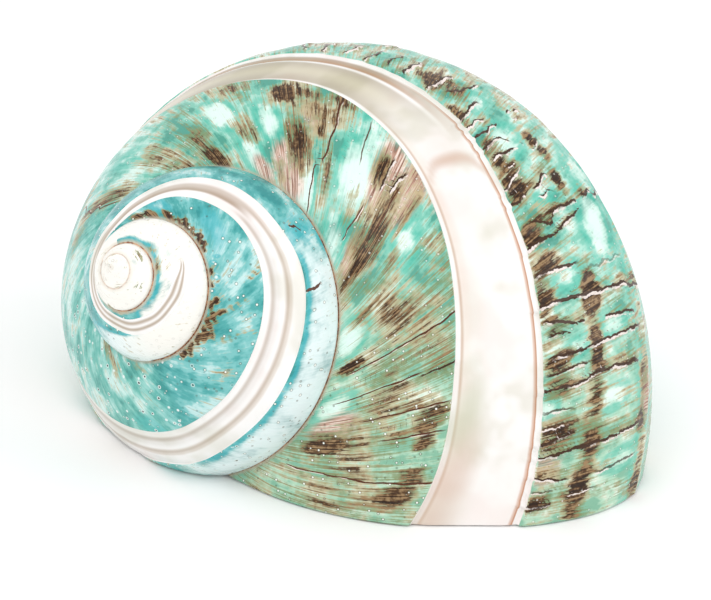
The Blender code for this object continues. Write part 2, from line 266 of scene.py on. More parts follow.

# The band by place across it: beside the aperture, then on earlier and earlier turns, each with the
# turn angle in hundreds of degrees where it gives way to the one before.
# In each row, the tan, fawn and grey strips along grooves and rim bevels are partly the pearl's own
# tone and partly painted shade.
BAND_SIDE = ((0.0, BAND_RIM), (0.05, BAND_RIM), (0.075, (214, 194, 178)), (0.11, (244, 238, 232)),
             (0.24, BAND_WHITE), (0.88, BAND_WHITE), (0.91, (222, 194, 178)),
             (0.93, (196, 144, 114)), (0.942, BAND_RIM))
BAND_TOP = ((0.0, BAND_RIM), (0.06, BAND_RIM), (0.10, BAND_GREY), (0.40, (214, 208, 188)),
            (0.64, BAND_GREY), (0.72, BAND_RIM), (0.78, (186, 152, 122)), (0.88, (188, 172, 154)),
            (0.94, BAND_RIM))
BAND_INNER = ((0.0, BAND_RIM), (0.12, BAND_RIM), (0.21, (208, 200, 192)), (0.32, (238, 236, 234)),
              (0.46, BAND_RIM), (0.57, (206, 194, 182)), (0.64, (226, 218, 210)),
              (0.72, BAND_RIM), (1.0, BAND_RIM))
BAND_INNER_TOP = ((0.0, BAND_RIM), (0.28, BAND_RIM), (0.38, (184, 168, 152)),
                  (0.60, (210, 200, 190)), (0.76, BAND_RIM), (1.0, BAND_RIM))
BAND_FIRST = ((0.0, BAND_RIM), (0.08, BAND_RIM), (0.28, BAND_FAWN), (0.50, BAND_WHITE),
              (0.68, BAND_FAWN), (0.86, BAND_RIM), (1.0, BAND_RIM))
BAND_EARLIER = (
    (BAND_TOP, -1.42, -1.12), (BAND_INNER, -3.0, -2.4),
    (BAND_INNER_TOP, -4.85, -4.68), (BAND_FIRST, -6.2, -5.6),
)
BAND_SHOWS_FROM, BAND_SHOWS_FULL = -8.15, -8.05


def smooth_step(low, high, value):
    share = np.clip((value - low) / (high - low), 0.0, 1.0)
    return share * share * (3 - 2 * share)


def bump(value, middle, half_width):
    """1 at the middle, 0 past half_width to either side, smooth between."""
    return 1 - smooth_step(0.0, half_width, np.abs(value - middle))


def pair(x, y):
    return np.stack(np.broadcast_arrays(np.asarray(x, float), np.asarray(y, float)), -1)


def suture(turn):
    radius = SUTURE_RADIUS * np.exp(RADIUS_GROWTH * turn + RADIUS_FLARE * turn * turn)
    return pair(radius, -SUTURE_DEPTH * np.exp(DEPTH_GROWTH * turn))


def cubic(first, second, third, fourth, share):
    rest = 1 - share
    return (rest ** 3 * first + 3 * rest ** 2 * share * second
            + 3 * rest * share ** 2 * third + share ** 3 * fourth)


def quadratic(first, second, third, share):
    rest = 1 - share
    return rest ** 2 * first + 2 * rest * share * second + share ** 2 * third


def chord_length(turn):
    return np.linalg.norm(suture(turn + FULL_TURN) - suture(turn), axis=-1)


def smooth_outline(turn, across):
    """Points on the whorl: 0 to 1 from seam to seam, 1 to 2 over the base to the columella."""
    turn, across = np.broadcast_arrays(np.asarray(turn, float), np.asarray(across, float))
    upper, lower = suture(turn), suture(turn + FULL_TURN)
    chord = chord_length(turn)[..., None]
    along = (lower - upper) / chord
    out = pair(-along[..., 1], along[..., 0])
    swell = NUCLEUS_SWELL + (1 - NUCLEUS_SWELL) * smooth_step(NUCLEUS_FROM, NUCLEUS_TO, turn)
    swell = swell[..., None]
    shoulder = upper + chord * (SHOULDER_SWELL * swell * out + SHOULDER_REACH * along)
    keel = lower + chord * (KEEL_SWELL * swell * out - KEEL_REACH * along)
    side = cubic(upper, shoulder, keel, lower, np.minimum(across, 1.0)[..., None])
    tuck = smooth_step(TUCK_FROM, TUCK_FULL, turn) - smooth_step(TUCK_LEAVES, TUCK_TO, turn)
    drop = (BASE_DROP + (TUCK_DROP - BASE_DROP) * tuck)[..., None]
    spread = BASE_SPREAD + (TUCK_SPREAD - BASE_SPREAD) * tuck
    inward = (lower - keel) / np.linalg.norm(lower - keel, axis=-1, keepdims=True)
    end = pair(spread * lower[..., 0], TUCK_RISE * tuck - COLUMELLA_DEPTH)
    foot = pair(np.zeros_like(turn), -COLUMELLA_DEPTH)
    base = cubic(lower, lower + chord * drop * inward, end, foot,
                 np.maximum(across - 1.0, 0.0)[..., None])
    return np.where((across <= 1)[..., None], side, base)


def outline_normal(turn, across):
    step = 0.002
    ahead = smooth_outline(turn, across + step) - smooth_outline(turn, across - step)
    out = pair(-ahead[..., 1], ahead[..., 0])
    return out / np.maximum(np.linalg.norm(out, axis=-1, keepdims=True), 1e-12)


def lying():
    heading = Matrix.Rotation(SPIRE_HEADING, 4, "Z")
    lean = Matrix.Rotation(math.pi / 2 - SPIRE_RISE, 4, "Y")
    roll = Matrix.Rotation(LIP_ROLL, 4, "Z")
    return np.array(Matrix.Translation(APEX_PLACE) @ heading @ lean @ roll)


def in_space(turn, point):
    """Points of the half-plane at each turn angle, in the row frame, on the lying shell."""
    x, y = point[..., 0], point[..., 1]
    upright = np.stack([x * np.cos(turn), -x * np.sin(turn), y], -1)
    place = lying()
    return upright @ place[:3, :3].T + place[:3, 3]


def growth(turn, across):
    """Turn angle that a growth line through this place has at the upper seam."""
    return turn + LEAN_REACH * (1 - np.exp(-LEAN_RATE * across))


def listed_edges(degrees):
    table = np.array(BAND, float)
    place = np.clip(np.searchsorted(table[:, 0], degrees), 1, len(table) - 1)
    before, after = table[place - 1], table[place]
    share = smooth_step(0.0, 1.0, (degrees - before[..., 0]) / (after[..., 0] - before[..., 0]))
    return before[..., 1:] + (after - before)[..., 1:] * share[..., None]


def band_edges(degrees):
    """Upper and lower edge of the band, evened out over a few degrees to either side."""
    edges = sum(listed_edges(degrees + offset) for offset in EVEN_OUT) / len(EVEN_OUT)
    return edges[..., 0], edges[..., 1]


def row_turns():
    """Turn angle of each grid row in degrees, in a pattern that repeats every full turn."""
    fine = np.arange(0, round((FINE_TO - FINE_FROM) / FINE_STEP)) * FINE_STEP + FINE_FROM
    coarse_count = round((360 - (FINE_TO - FINE_FROM)) / COARSE_STEP)
    coarse = np.arange(0, coarse_count) * COARSE_STEP + FINE_TO
    turn = np.concatenate([fine, coarse])
    every = np.concatenate([turn + 360 * k for k in range(-5, 2)])
    return every[(every > FIRST_ROW - 0.01) & (every < LAST_ROW + 0.01)], len(turn)


def columns(degrees, counts):
    """Places across the whorl where the row has a column, with one on each side of a band edge."""
    upper, lower = band_edges(np.array(degrees))
    above, inside, below = counts
    return np.concatenate([
        np.linspace(0, upper - RIM / 2, above + 1),
        np.linspace(upper + RIM / 2, lower - RIM / 2, inside + 1),
        np.linspace(lower + RIM / 2, 1, below + 1),
    ])


def counts_at(degrees):
    for end, counts in WHORL_COLUMNS:
        if degrees <= end - 0.001:
            return counts
    return WHORL_COLUMNS[-1][1]


class Grid:
    """The nodes of the skin. A node is a place on the coil: the seam has one from each side."""

    def __init__(self):
        turns, self.per_turn = row_turns()
        self.rows, turn, across = [], [], []
        for row, degrees in enumerate(turns):
            places = columns(degrees, counts_at(degrees))
            if row + self.per_turn >= len(turns):
                places = np.concatenate([places, 1 + np.arange(1, BASE_COLUMNS) / BASE_COLUMNS])
            self.rows.append(np.arange(len(places)) + len(turn))
            turn.extend([degrees] * len(places))
            across.extend(places)
        self.degrees = np.array(turn)
        self.turn = np.radians(self.degrees)
        self.across = np.array(across)
        self.vertex = np.arange(len(turn))
        for row, later in zip(self.rows, self.rows[self.per_turn:]):
            self.vertex[row[-1]] = later[0]

    def faces(self):
        """Corner nodes of the faces. The foot and the apex come after the last node."""
        foot, apex = len(self.turn), len(self.turn) + 1
        found = []
        for one, two in zip(self.rows, self.rows[1:]):
            found += strip(one, two, self.across)
        last = self.rows[-1]
        start = len(self.rows) - self.per_turn
        for one, two in zip(self.rows[start:], self.rows[start + 1:]):
            found.append((one[-1], foot, two[-1]))
        first_base = self.rows[start]
        seam = len(columns(self.degrees[first_base[0]], WHORL_COLUMNS[-1][1])) - 1
        found.append((self.rows[start - 1][-1], *first_base[seam:], foot))
        found.append((*last, foot, *first_base[:seam:-1]))
        start_row = self.rows[0]
        rim = [row[0] for row in self.rows[:self.per_turn + 1]] + list(start_row[-2:0:-1])
        found += [(a, b, apex) for a, b in zip(rim, rim[1:] + rim[:1])]
        return found


def strip(one, two, across):
    """Faces between two rows, with triangles where their numbers of columns differ."""
    if len(one) == len(two):
        return list(zip(one[:-1], one[1:], two[1:], two[:-1]))
    side = two[across[two] <= 1.0001]
    found, i, k = [], 0, 0
    while i < len(one) - 1 or k < len(side) - 1:
        next_one = across[one[i + 1]] if i < len(one) - 1 else FAR
        next_two = across[side[k + 1]] if k < len(side) - 1 else FAR
        if next_one <= next_two:
            found.append((one[i], one[i + 1], side[k]))
            i += 1
        else:
            found.append((one[i], side[k + 1], side[k]))
            k += 1
    return found


def band_place(grid):
    """0 at the upper edge of the band and 1 at its lower edge."""
    upper, lower = band_edges(grid.degrees)
    return (grid.across - upper) / (lower - upper)


def soft_noise(x, y, seed):
    """Smooth noise from -1 to 1 over a plane, one lump to a unit."""
    table = np.random.default_rng(seed).uniform(-1, 1, (256, 256))
    i, k = np.floor(x).astype(int), np.floor(y).astype(int)
    a, b = smooth_step(0, 1, x - i), smooth_step(0, 1, y - k)
    corner = [table[(i + m) % 256, (k + n) % 256] for m, n in ((0, 0), (1, 0), (0, 1), (1, 1))]
    return ((corner[0] * (1 - a) + corner[1] * a) * (1 - b)
            + (corner[2] * (1 - a) + corner[3] * a) * b)


class Skin:
    """Places, heights and painted fields of the grid's nodes."""

    def __init__(self, grid):
        self.grid = grid
        self.degrees, self.across = grid.degrees, grid.across
        self.line = np.degrees(growth(grid.turn, grid.across))
        self.chord = chord_length(grid.turn)
        self.band = band_place(grid)
        self.in_band = (self.band > 0) & (self.band < 1)
        self.body = smooth_step(PENULTIMATE_END, PENULTIMATE_END + 1, self.degrees)
        self.spiral_radius = BODY_RADIUS * np.exp(RADIUS_GROWTH * grid.turn)
        off_middle = 2 * np.clip(self.band, 0, 1) - 1
        self.facet = self.degrees - FACET_START - FACET_ROUND * off_middle ** 4

    def marks(self, listed, inner=0.2, outer=1.7):
        """The largest of soft ovals, each longer across the whorl or along the coil."""
        field = np.zeros(len(self.degrees))
        for degrees, across, half_across, half_degrees, strength in listed:
            line = degrees + np.degrees(growth(0.0, across))
            x = (self.line - line) / half_degrees
            y = (self.across - across) / half_across
            near = np.abs(self.degrees - degrees) < 90
            oval = strength * smooth_step(outer, inner, np.hypot(x, y)) * near
            field = np.maximum(field, oval)
        return field

    def edges(self, listed):
        """Signed distance in mm to the nearest listed line of growth, and its strength."""
        distance = np.full(len(self.degrees), FAR)
        strength = np.zeros(len(self.degrees))
        second = np.full(len(self.degrees), FAR)
        for line, first, last, much, wobble, drift in listed:
            shift = wobble * (soft_noise(self.across * 14, line * 3.7, 5)
                              + 0.5 * soft_noise(self.across * 40, line * 3.7, 6))
            shift += drift * np.clip((self.across - first) / (last - first), 0, 1)
            away = np.radians(self.line - line - shift) * self.spiral_radius
            here = (smooth_step(first - 0.02, first + 0.02, self.across)
                    * smooth_step(last + 0.03, last - 0.03, self.across))
            here *= much * smooth_step(3.0, 1.5, np.abs(away))
            live = here > 0
            closer = (np.abs(away) < np.abs(distance)) & live
            second = np.where(closer, np.abs(distance),
                              np.where(live, np.minimum(second, np.abs(away)), second))
            distance = np.where(closer, away, distance)
            strength = np.where(closer, here, strength)
        strength *= smooth_step(LEDGE_APART, 2 * LEDGE_APART, second - np.abs(distance))
        return distance, strength


def relief(skin):
    """Height of each node over the smooth whorl, in metres."""
    sunk = smooth_step(BAND_FADE_FROM, BAND_FADE_TO, skin.degrees)
    height = np.where(skin.in_band, -BAND_DEPTH * skin.chord * sunk, 0.0)
    groove = sum(bump(skin.band, place, width) * deep * bump(skin.degrees, middle, reach)
                 for place, width, deep, middle, reach in GROOVES)
    height -= np.where(skin.in_band, groove * skin.chord, 0.0)
    facet = smooth_step(-2, 6, skin.facet) * skin.in_band
    flat = np.clip((skin.band - 0.16) / 0.68, 0, 1)
    height -= facet * FACET_SAG * 4 * flat * (1 - flat)
    distance, strength = skin.ledges
    before = np.exp(np.minimum(distance, 0) / LEDGE_FALL)
    height += np.where(distance < 0.1, LEDGE_HEIGHT * strength * before, 0.0)
    rough = skin.body * smooth_step(0.56, 0.62, skin.across) * smooth_step(1.15, 0.95, skin.across)
    along = np.radians(skin.line) * skin.spiral_radius
    ripple = (soft_noise(along * 0.9, skin.across * 9, 11)
              + 0.6 * soft_noise(along * 2.1, skin.across * 16, 12))
    height += rough * RIPPLE_HEIGHT * ripple
    near_seam = np.minimum(skin.across, np.abs(1 - skin.across)) * skin.chord
    height += SEAM_SWELL * bump(near_seam, 0.0006, 0.0006) * (skin.across < 1)
    return height


def skin_mesh(grid):
    skin = Skin(grid)
    skin.ledges = skin.edges(LEDGES)
    skin.cracks = skin.edges(CRACKS)
    height = relief(skin)[:, None] * outline_normal(grid.turn, grid.across)
    places = in_space(grid.turn, smooth_outline(grid.turn, grid.across) + height)
    ends = in_space(np.zeros(2), np.array([[0, -COLUMELLA_DEPTH], [0, -APEX_DEPTH]]))
    places = np.concatenate([places, ends])
    vertex = np.concatenate([grid.vertex, [len(places) - 2, len(places) - 1]])
    faces = grid.faces()
    mesh = bpy.data.meshes.new("turban_shell_skin")
    mesh.from_pydata(places.tolist(), [], [vertex[list(face)].tolist() for face in faces])
    corner = np.concatenate([np.array(face) for face in faces])
    turn = np.append(grid.turn, [0, grid.turn[0]])
    across = np.append(grid.across, [2, 0.5])
    along = np.exp(RADIUS_GROWTH * growth(turn, across)) * GROWTH_SCALE
    add_map(mesh, "growth", pair(along, across)[corner])
    place = np.append(skin.band, [FAR, FAR])
    add_map(mesh, "band", pair(place, np.degrees(turn) / 100)[corner])
    apart = skin.chord * MILLIMETRES
    last_turn = grid.turn > LAST_SEAM
    below = np.where(last_turn, FAR, (1 - skin.across) * apart)
    add_map(mesh, "seam", corner_pair(skin.across * apart, below, corner))
    add_map(mesh, "ledge", corner_pair(*skin.ledges, corner))
    add_map(mesh, "crack", corner_pair(*skin.cracks, corner))
    paint(mesh, "pigment", corner, brown_field(skin), pale_field(skin), blue_field(skin),
          mauve_field(skin))
    nothing = np.zeros(len(skin.degrees))
    paint(mesh, "wear", corner, pit_field(skin), speckle_field(skin), nothing, nothing)
    return mesh


def corner_pair(one, two, corner):
    """Two values for each corner of a face, such as a distance and a strength."""
    return pair(np.append(one, [FAR, FAR]), np.append(two, [0, 0]))[corner]


def paint(mesh, name, corner, *fields):
    """Stores four fields as one attribute, with fixed values at the foot and the apex."""
    values = np.stack([np.append(field, [at_ends, at_ends])
                       for field, at_ends in zip(fields, END_FIELDS)], -1)
    layer = mesh.attributes.new(name, "FLOAT_COLOR", "CORNER")
    layer.data.foreach_set("color", values[corner].astype(np.float32).ravel())


def brown_field(skin):
    """Strength of the stains, a little darker just before each ledge, partly brown and partly painted
    shade, and in the band that of its grey-green tint.
    """
    turn, across, body = skin.degrees, skin.across, skin.body
    outer = smooth_step(0.5, 0.6, across)
    level = 0.26 + 0.02 * smooth_step(-90, -70, turn) + 0.10 * soft_noise(turn / 9, across * 6, 23)
    left = smooth_step(-170, -215, turn)
    field = body * (level * (1 - outer) * (1 - 0.8 * left) + 0.22 * outer)
    field = np.maximum(field, skin.marks(BROWN_MARKS))
    spiral = bump(across, 0.722, 0.045) * smooth_step(-92, -84, turn) * smooth_step(-38, -46, turn)
    field += body * 0.42 * spiral * (0.8 + 0.5 * soft_noise(turn / 3, across * 5, 21))
    faint = bump(across, 0.95, 0.04) * smooth_step(-85, -70, turn)
    field += body * 0.22 * faint * (0.7 + 0.5 * soft_noise(turn / 5, across * 5, 22))
    distance, strength = skin.ledges
    # Painted shade and brown together: the stain deepens just before each ledge.
    before = smooth_step(-1.6, -0.2, distance) * (distance < 0)
    field += strength * 0.15 * before
    field = np.maximum(field, 1.3 * skin.marks(BEADS) * (turn < PENULTIMATE_END))
    field += 0.3 * bump(across, 0.03, 0.05) * (turn < -680)
    field -= skin.marks(PALE_MARKS) * 0.30
    grey = skin.marks(GREY_TINTS)
    return np.where(skin.in_band, grey, field * smooth_step(1.5, 1.1, across))


def pale_field(skin):
    """Strength of the milky patches, which take over on the inner whorls, and of a painted wash of
    light along the edge of the last whorl near the lip.
    """
    turn, across = skin.degrees, skin.across
    field = skin.marks(PALE_MARKS, 0.0, 1.35)
    field *= 1 - 0.8 * skin.marks(BEADS) * (turn < PENULTIMATE_END) * (turn > -540)
    inner = smooth_step(-715, -735, turn)
    teal_rim = 1 - bump(across, 0.02, 0.22) * smooth_step(-735, -760, turn) * (turn > -905)
    cloud = 0.80 + 0.2 * smooth_step(-880, -920, turn)
    cloud += 0.25 * soft_noise(turn / 20, across * 4, 41)
    field = np.maximum(field, inner * teal_rim * cloud)
    field = np.maximum(field, smooth_step(-640, -690, turn) * smooth_step(0.30, 0.42, across)
                       * smooth_step(1.0, 0.86, across))
    field = np.maximum(field, 0.62 * smooth_step(1.2, 1.8, across))
    strip = skin.band - 1
    outer_strip = smooth_step(-478, -440, turn) * smooth_step(-0.1, 0.3, strip)
    outer_strip *= turn < PENULTIMATE_END
    field = np.maximum(field, 0.78 * outer_strip)
    # Painted light: the last whorl's edge near the lip is washed paler, as the strong side light
    # shows it.
    edge_light_wash = skin.body * bump(across, 0.98, 0.16) * smooth_step(-120, -80, turn)
    field = np.maximum(field, 0.5 * edge_light_wash)
    return field


def blue_field(skin):
    """Sea-blue on the spire and, half as strong, on the start of the last whorl."""
    return smooth_step(-330, -380, skin.degrees) * 0.9 + 0.5 * smooth_step(-180, -240, skin.degrees)


def mauve_field(skin):
    """Strength of the mauve stripes, and in the band that of its pink tint, with a line of painted
    shade along the start of the flat facet.
    """
    # Painted shade: a pinkish line along the edge where the flat facet begins.
    facet_edge_shade = bump(skin.facet, 1.0, 3.0) * bump(skin.band, 0.5, 0.49) ** 0.3
    tints = np.maximum(skin.marks(PINK_TINTS), facet_edge_shade)
    return np.where(skin.in_band, tints, skin.marks(MAUVE_MARKS))


def pit_field(skin):
    """Pits lie on the left side only, where the last whorl starts."""
    return smooth_step(-225, -290, skin.degrees) * smooth_step(-400, -350, skin.degrees)


def speckle_field(skin):
    """Speckles are densest on the penultimate whorl and low above the band."""
    low = smooth_step(-80, -50, skin.degrees) * (skin.across < 0.4)
    penultimate = smooth_step(PENULTIMATE_END, -380, skin.degrees)
    penultimate *= smooth_step(-730, -680, skin.degrees)
    fewer = 1 - 0.6 * smooth_step(-680, -730, skin.degrees)
    return (0.45 + 0.55 * np.maximum(low, penultimate)) * fewer


def add_map(mesh, name, values):
    layer = mesh.uv_layers.new(name=name)
    layer.data.foreach_set("uv", values.astype(np.float32).ravel())


def new_object(name, mesh):
    made = bpy.data.objects.new(name, mesh)
    bpy.context.scene.collection.objects.link(made)
    return made


def choose(piece):
    bpy.ops.object.select_all(action="DESELECT")
    piece.select_set(True)
    bpy.context.view_layer.objects.active = piece


def edit(piece):
    choose(piece)
    bpy.ops.object.mode_set(mode="EDIT")
    bpy.ops.mesh.select_all(action="SELECT")


def leave():
    bpy.ops.object.mode_set(mode="OBJECT")


def hollow_section(turn):
    """Outline of the hollow in the half-plane at this turn angle."""
    across = np.linspace(HOLLOW_TOP, HOLLOW_TURN_IN, HOLLOW_OUTER_POINTS)
    outer = smooth_outline(turn, across) - WALL * outline_normal(turn, across)
    lower = suture(np.array(turn + FULL_TURN))
    top, turn_in = outer[0], outer[-1]
    floor = np.array([FLOOR_RADIUS * lower[0], FLOOR_DEPTH * lower[1]])
    sag = np.array([(turn_in[0] + floor[0]) / 2, min(turn_in[1], floor[1]) - FLOOR_SAG])
    bottom = [quadratic(turn_in, sag, floor, k / HOLLOW_FLOOR_POINTS)
              for k in range(1, HOLLOW_FLOOR_POINTS + 1)]
    waist = np.array([0.0, (floor[1] + top[1]) / 2])
    inner = [quadratic(floor, waist, top, k / HOLLOW_INNER_POINTS)
             for k in range(1, HOLLOW_INNER_POINTS)]
    return np.concatenate([outer, bottom, inner])


def hollow_mesh():
    count = round((HOLLOW_TO - HOLLOW_FROM) / HOLLOW_STEP)
    places, faces = [], []
    for k in range(count + 1):
        turn = math.radians(HOLLOW_FROM + HOLLOW_STEP * k)
        section = hollow_section(turn)
        if k == 0:
            middle = section.mean(0)
            section = middle + END_SHRINK * (section - middle)
        places.append(in_space(np.full(len(section), turn), section))
    size = len(places[0])
    for k in range(count):
        for i in range(size):
            after = (i + 1) % size
            faces.append((k * size + i, k * size + after,
                          (k + 1) * size + after, (k + 1) * size + i))
    faces.append(tuple(range(size)))
    faces.append(tuple(range(count * size, (count + 1) * size)))
    mesh = bpy.data.meshes.new("hollow")
    mesh.from_pydata(np.concatenate(places).tolist(), [], faces)
    return mesh


def make_shell():
    shell = new_object("turban_shell_skin", skin_mesh(Grid()))
    edit(shell)
    bpy.ops.mesh.normals_make_consistent(inside=False)
    bpy.ops.mesh.bisect(plane_co=(0, 0, 0), plane_no=(0, 0, 1), use_fill=True, clear_inner=True,
                        threshold=CUT_TOLERANCE)
    leave()
    hollow = new_object("hollow", hollow_mesh())
    edit(hollow)
    bpy.ops.mesh.normals_make_consistent(inside=False)
    leave()
    shell.data.materials.append(skin_material())
    hollow.data.materials.append(lining_material())
    shell.data.materials.append(hollow.data.materials[0])
    cut = shell.modifiers.new("hollow", "BOOLEAN")
    cut.operation, cut.solver, cut.object = "DIFFERENCE", "EXACT", hollow
    cut.material_mode = "TRANSFER"
    choose(shell)
    bpy.ops.object.modifier_apply(modifier=cut.name)
    bpy.data.objects.remove(hollow)
    choose(shell)
    bpy.ops.object.shade_smooth_by_angle(angle=SMOOTH_ANGLE)
    return shell


class Nodes:
    """A small helper that places and joins shader nodes."""

    def __init__(self, tree):
        self.tree = tree

    def add(self, kind, inputs=(), **settings):
        node = self.tree.nodes.new(kind)
        for name, value in settings.items():
            setattr(node, name, value)
        for name, value in dict(inputs).items():
            self.feed(node.inputs[name], value)
        return node

    def feed(self, socket, value):
        if isinstance(value, bpy.types.NodeSocket):
            self.tree.links.new(value, socket)
        elif value is not None:
            socket.default_value = value

    def mix(self, share, one, two, blend="MIX"):
        node = self.add("ShaderNodeMix", data_type="RGBA", blend_type=blend)
        for socket, value in zip((node.inputs[0], node.inputs[6], node.inputs[7]),
                                 (share, one, two)):
            self.feed(socket, value)
        return node.outputs[2]

    def maths(self, operation, one, two=None, clamp=False):
        node = self.add("ShaderNodeMath", operation=operation, use_clamp=clamp)
        self.feed(node.inputs[0], one)
        self.feed(node.inputs[1], two)
        return node.outputs[0]

    def times(self, one, two):
        return self.maths("MULTIPLY", one, two)

    def cover(self, colour, share, rgb):
        """The colour with a plain tone laid over it."""
        return self.mix(share, colour, tone(rgb))


def material(name):
    made = bpy.data.materials.new(name)
    made.use_nodes = True
    nodes = Nodes(made.node_tree)
    shader = made.node_tree.nodes["Principled BSDF"]
    return made, nodes, shader


def finish(shader, values):
    for name, value in values.items():
        shader.inputs[name].default_value = value


def tone(rgb):
    """A colour as the eye picks it from a screen, 0 to 255, made linear."""
    return tuple(((value / 255 + 0.055) / 1.055) ** 2.4 for value in rgb) + (1.0,)


def ramp(nodes, value, stops):
    node = nodes.add("ShaderNodeValToRGB", {"Fac": value})
    node.color_ramp.interpolation = "EASE"
    elements = node.color_ramp.elements
    while len(elements) < len(stops):
        elements.new(0.5)
    for element, (place, rgb) in zip(elements, stops):
        element.position = place
        element.color = tone(rgb)
    return node.outputs["Color"]


def between(nodes, value, low, high):
    """0 up to low and 1 from high on, smooth between; it falls where low is the greater."""
    node = nodes.add("ShaderNodeMapRange", interpolation_type="SMOOTHSTEP")
    rising = low < high
    nodes.feed(node.inputs["Value"], value)
    nodes.feed(node.inputs["From Min"], min(low, high))
    nodes.feed(node.inputs["From Max"], max(low, high))
    nodes.feed(node.inputs["To Min"], 0.0 if rising else 1.0)
    nodes.feed(node.inputs["To Max"], 1.0 if rising else 0.0)
    return node.outputs["Result"]


def bell(nodes, value, middle, half_width):
    """1 near the middle, 0 past half_width to either side."""
    away = nodes.maths("ABSOLUTE", nodes.maths("SUBTRACT", value, middle))
    return between(nodes, away, half_width, half_width * 0.3)


def total(nodes, *terms):
    """A first value, plus each further one, taken about 0.5, times its weight."""
    result = terms[0]
    for value, weight in terms[1:]:
        centred = nodes.maths("SUBTRACT", value, 0.5)
        result = nodes.maths("ADD", result, nodes.times(centred, weight))
    return result


def scaled_noise(nodes, vector, scale, detail, roughness=0.5):
    stretched = nodes.add("ShaderNodeMapping", {"Vector": vector, "Scale": scale}).outputs[0]
    return nodes.add("ShaderNodeTexNoise", {"Vector": stretched, "Scale": 1.0, "Detail": detail,
                                            "Roughness": roughness}).outputs["Fac"]


def even(scale):
    return scale, scale, scale


def split_map(nodes, name):
    both = nodes.add("ShaderNodeUVMap", uv_map=name).outputs[0]
    node = nodes.add("ShaderNodeSeparateXYZ", {0: both})
    return node.outputs[0], node.outputs[1]


def split_paint(nodes, name):
    """The first three painted fields of an attribute, and the fourth."""
    paint_node = nodes.add("ShaderNodeAttribute", attribute_name=name)
    fields = nodes.add("ShaderNodeSeparateColor", {0: paint_node.outputs["Color"]}).outputs
    return fields[0], fields[1], fields[2], paint_node.outputs["Alpha"]


def dots(nodes, place, scale, share, radius):
    """Round spots: 1 inside, for the given share of the cells, and the ring around them."""
    cells = nodes.add("ShaderNodeTexVoronoi", {"Vector": place, "Scale": scale})
    chance = nodes.add("ShaderNodeSeparateColor", {0: cells.outputs["Color"]}).outputs[0]
    chosen = nodes.maths("LESS_THAN", chance, share)
    away = cells.outputs["Distance"]
    spot = nodes.times(between(nodes, away, radius, radius * 0.6), chosen)
    grown = nodes.times(between(nodes, away, radius * 1.6, radius * 1.15), chosen)
    return spot, nodes.maths("SUBTRACT", grown, spot, clamp=True)


def pearl_group():
    """Mother of pearl: white with faint beige, pink and green clouds, partly the nacre's own tone and
    partly its iridescent sheen painted into the colour.
    """
    group = bpy.data.node_groups.new("pearl_clouds", "ShaderNodeTree")
    group.interface.new_socket("Vector", in_out="INPUT", socket_type="NodeSocketVector")
    group.interface.new_socket("Color", in_out="OUTPUT", socket_type="NodeSocketColor")
    nodes = Nodes(group)
    start = nodes.add("NodeGroupInput").outputs["Vector"]
    cloud = scaled_noise(nodes, start, even(120), 3.0)
    light = scaled_noise(nodes, start, even(210), 2.0)
    colour = nodes.cover(ramp(nodes, cloud, PEARL_CLOUDS), between(nodes, light, 0.55, 0.75),
                         PEARL_LIGHT)
    end = nodes.add("NodeGroupOutput")
    nodes.feed(end.inputs["Color"], colour)
    return group


def pearl_colour(nodes, group, solid):
    return nodes.add("ShaderNodeGroup", {0: solid}, node_tree=group).outputs[0]


